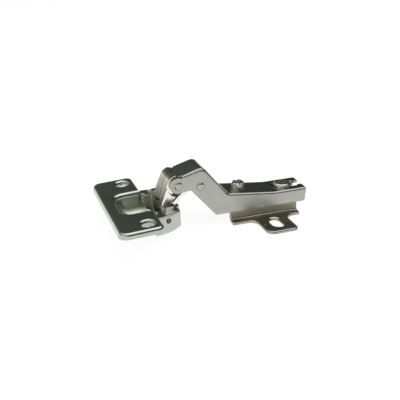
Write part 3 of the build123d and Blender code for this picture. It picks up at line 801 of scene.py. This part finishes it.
@dataclass
class WallPlate(Assembly):
    """The mounting plate and the screw that clamps the arm on it."""

    FINISH: ClassVar[Dict[str, PlatedFinish]] = {"mounting_plate": PLATE_SHEET, "fixing_screw": SCREW_STEEL}


@dataclass
class HingeArm(Assembly):
    """The cranked arm with its two rivets and the overlay screw."""

    front_pin: Pair = (-44.8 * MM, 23.0 * MM)
    rear_pin: Pair = (-34.25 * MM, 21.2 * MM)
    head_face: float = 7.88 * MM
    screw: Pair = (-13.1 * MM, 0.0)

    FINISH: ClassVar[Dict[str, PlatedFinish]] = {
        "hinge_arm": ARM_SHEET, "adjusting_screw": SCREW_STEEL,
        "arm_front_pin": PIN_STEEL, "arm_rear_pin": PIN_STEEL,
    }

    def build(self) -> List[str]:
        """Add rivet heads and the screw's thread.

        Returns:
            The names of the new pieces.
        """
        made = []
        for label, place in (("front", self.front_pin), ("rear", self.rear_pin)):
            for side in Side:
                head = RivetHead(f"arm_rivet_{label}_{side.name.lower()}", "arm", place, self.head_face, side)
                made.append(self.cover(head.build(), RIVET))
        thread = ScrewThread("overlay_screw_thread", "overlay_screw", self.screw)
        made.append(self.cover(thread.build(), THREAD))
        return made


@dataclass
class Linkage(Assembly):
    """The two links between the arm and the cup."""

    FINISH: ClassVar[Dict[str, PlatedFinish]] = {"outer_link": LINK_STREAKS_AND_SIDE_LIGHT, "inner_link": LINK_STREAKS_AND_SIDE_LIGHT}


@dataclass
class DoorCup(Assembly):
    """The pressed cup with its pins and closing springs."""

    FINISH: ClassVar[Dict[str, PlatedFinish]] = {
        "hinge_cup": SHEET, "cup_rear_pin": PIN_STEEL,
        "cup_link_pin_left": PIN_STEEL, "cup_link_pin_right": PIN_STEEL,
        "closing_spring_left": SPRING_STEEL, "closing_spring_right": SPRING_STEEL,
    }

    def build(self) -> List[str]:
        """Add the drawn bowl and the two shoulders.

        Returns:
            The names of the new pieces.
        """
        made = [self.cover(PocketBowl().build(), BOWL_PAINTED_LIGHT)]
        for side in Side:
            made.append(self.cover(PressedShoulder(side).build(), SHOULDER_PAINTED_SHADE_AND_LIGHT))
        return made


@dataclass(frozen=True)
class Lamp:
    """A soft square lamp that points at the hinge and doesn't show in the metal."""

    name: str
    place: Vec3
    size: float
    power: float

    TARGET: ClassVar[Vec3] = (-0.03, 0.0, 0.012)

    def build(self) -> str:
        """Hang the lamp.

        Returns:
            Its name.
        """
        lamp = bpy.data.lights.new(self.name, "AREA")
        lamp.shape = "SQUARE"
        lamp.size = self.size
        lamp.energy = self.power
        holder = bpy.data.objects.new(self.name, lamp)
        bpy.context.scene.collection.objects.link(holder)
        holder.location = self.place
        holder.visible_glossy = False
        aim = Vector(self.TARGET) - Vector(self.place)
        holder.rotation_euler = aim.to_track_quat("-Z", "Y").to_euler()
        return self.name


@dataclass
class Studio:
    """Pale floor, dim room with a bright ceiling panel, three lamps and the camera."""

    eye: Vec3 = (-128.1 * MM, -286.8 * MM, 142.1 * MM)
    look: Vec3 = (0.291, 0.870, -0.397)
    roll: float = math.radians(1.36)
    lens: float = 63.21
    sensor: float = 36.0
    clip_start: float = 0.01
    floor_level: float = -0.2 * MM
    floor_half: float = 3.0
    floor_tone: Colour = (0.86, 0.86, 0.85)
    floor_glow: float = 0.93
    room: Tuple[Tuple[float, Colour], ...] = (
        (0.0, (0.80, 0.80, 0.78)),
        (0.10, (0.42, 0.42, 0.40)),
        (0.24, (0.092, 0.108, 0.088)),
        (0.55, (0.078, 0.092, 0.076)),
        (0.80, (0.31, 0.30, 0.26)),
    )
    across: Tuple[Pair, ...] = ((0.2, 1.0), (0.4, 0.42), (0.57, 0.21), (0.72, 0.11))
    across_gain: float = 4.0
    panel_way: Vec3 = (0.25, 0.08, 0.965)
    panel_edge: Pair = (0.76, 0.95)
    panel_glow: float = 1.9
    lamps: Tuple[Lamp, ...] = (
        Lamp("lamp_overhead", (0.05, -0.35, 0.75), 0.5, 9.0),
        Lamp("lamp_left", (-0.75, -0.05, 0.42), 0.4, 4.0),
        Lamp("lamp_right", (0.7, -0.45, 0.5), 0.4, 3.0),
    )

    def build(self) -> List[str]:
        """Make the room, the floor, the lamps and the camera.

        Returns:
            The names of what was made.
        """
        self.paint_room()
        return [self.lay_floor(), *(lamp.build() for lamp in self.lamps), self.set_camera()]

    def lay_floor(self) -> str:
        """Lay a white floor that keeps a faint shadow.

        Returns:
            The floor's name.
        """
        corners = np.array([[-1.0, -1.0], [1.0, -1.0], [1.0, 1.0], [-1.0, 1.0]]) * self.floor_half
        mesh = bpy.data.meshes.new("floor")
        mesh.from_pydata(np.column_stack([corners, np.full(4, self.floor_level)]), [], [[0, 1, 2, 3]])
        floor = bpy.data.objects.new("floor", mesh)
        bpy.context.scene.collection.objects.link(floor)
        material = bpy.data.materials.new("floor_white")
        net = NodeTree(material)
        path = net.add("ShaderNodeLightPath").outputs
        seen = net.work_out("MAXIMUM", path["Is Camera Ray"], path["Is Glossy Ray"])
        clear = net.work_out("MAXIMUM", seen, path["Is Transmission Ray"])
        matt = net.add("ShaderNodeBsdfDiffuse")
        matt.inputs["Color"].default_value = (*self.floor_tone, 1.0)
        glow = net.add("ShaderNodeEmission")
        glow.inputs["Color"].default_value = (*WHITE, 1.0)
        glow.inputs["Strength"].default_value = 1.0
        mix = net.add("ShaderNodeMixShader")
        net.link(net.spread(clear, (0.0, self.floor_glow)), mix.inputs["Fac"])
        net.link(matt.outputs["BSDF"], mix.inputs[1])
        net.link(glow.outputs["Emission"], mix.inputs[2])
        out = net.add("ShaderNodeOutputMaterial")
        net.link(mix.outputs["Shader"], out.inputs["Surface"])
        mesh.materials.append(material)
        return floor.name

    def paint_room(self) -> None:
        """Paint the world: white behind the object, and in the metal a room that is dimmer to the right."""
        world = bpy.data.worlds.new("room")
        bpy.context.scene.world = world
        net = NodeTree(world)
        way = net.add("ShaderNodeTexCoord").outputs["Generated"]
        walls = net.add("ShaderNodeBackground")
        net.link(net.ramp(net.axis(way, "Z"), self.room), walls.inputs["Color"])
        middle = net.work_out("MULTIPLY_ADD", net.axis(way, "X"), HALF, HALF)
        gain = net.work_out("MULTIPLY", net.levels(middle, self.across), self.across_gain)
        net.link(gain, walls.inputs["Strength"])
        facing = net.add("ShaderNodeVectorMath", operation="DOT_PRODUCT")
        facing.inputs[1].default_value = self.panel_way
        net.link(way, facing.inputs[0])
        panel = net.add("ShaderNodeBackground")
        fade = net.spread(facing.outputs["Value"], (0.0, self.panel_glow), self.panel_edge, "SMOOTHSTEP")
        net.link(fade, panel.inputs["Strength"])
        room = net.add("ShaderNodeAddShader")
        net.link(walls.outputs["Background"], room.inputs[0])
        net.link(panel.outputs["Background"], room.inputs[1])
        white = net.add("ShaderNodeBackground")
        white.inputs["Color"].default_value = (*WHITE, 1.0)
        mix = net.add("ShaderNodeMixShader")
        net.link(net.add("ShaderNodeLightPath").outputs["Is Camera Ray"], mix.inputs["Fac"])
        net.link(room.outputs["Shader"], mix.inputs[1])
        net.link(white.outputs["Background"], mix.inputs[2])
        out = net.add("ShaderNodeOutputWorld")
        net.link(mix.outputs["Shader"], out.inputs["Surface"])

    def set_camera(self) -> str:
        """Set the camera where the photograph was taken from.

        Returns:
            The camera's name.
        """
        ahead = Vector(self.look).normalized()
        level = ahead.cross(Vector((0.0, 0.0, 1.0))).normalized()
        down = ahead.cross(level)
        right = level * math.cos(self.roll) + down * math.sin(self.roll)
        up = right.cross(ahead)
        lens = bpy.data.cameras.new("photo_camera")
        lens.lens = self.lens
        lens.sensor_width = self.sensor
        lens.clip_start = self.clip_start
        camera = bpy.data.objects.new("photo_camera", lens)
        bpy.context.scene.collection.objects.link(camera)
        turn = Matrix((right, up, -ahead)).transposed().to_4x4()
        camera.matrix_world = Matrix.Translation(Vector(self.eye)) @ turn
        bpy.context.scene.camera = camera
        return camera.name


def main() -> None:
    """Load the hinge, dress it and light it."""
    logging.basicConfig(level=logging.INFO, format="%(name)s: %(message)s")
    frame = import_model()
    paint = {finish.name: finish.build() for finish in FINISHES}
    for kind in (WallPlate, HingeArm, Linkage, DoorCup):
        assembly = kind(frame["nodes"], paint)
        for name in assembly.dress():
            LOG.info("dressed %s", name)
        for name in assembly.build():
            LOG.info("added %s", name)
    for name in Studio().build():
        LOG.info("set up %s", name)
    bpy.context.scene.view_settings.view_transform = "Standard"


if __name__ == "__main__":
    main()
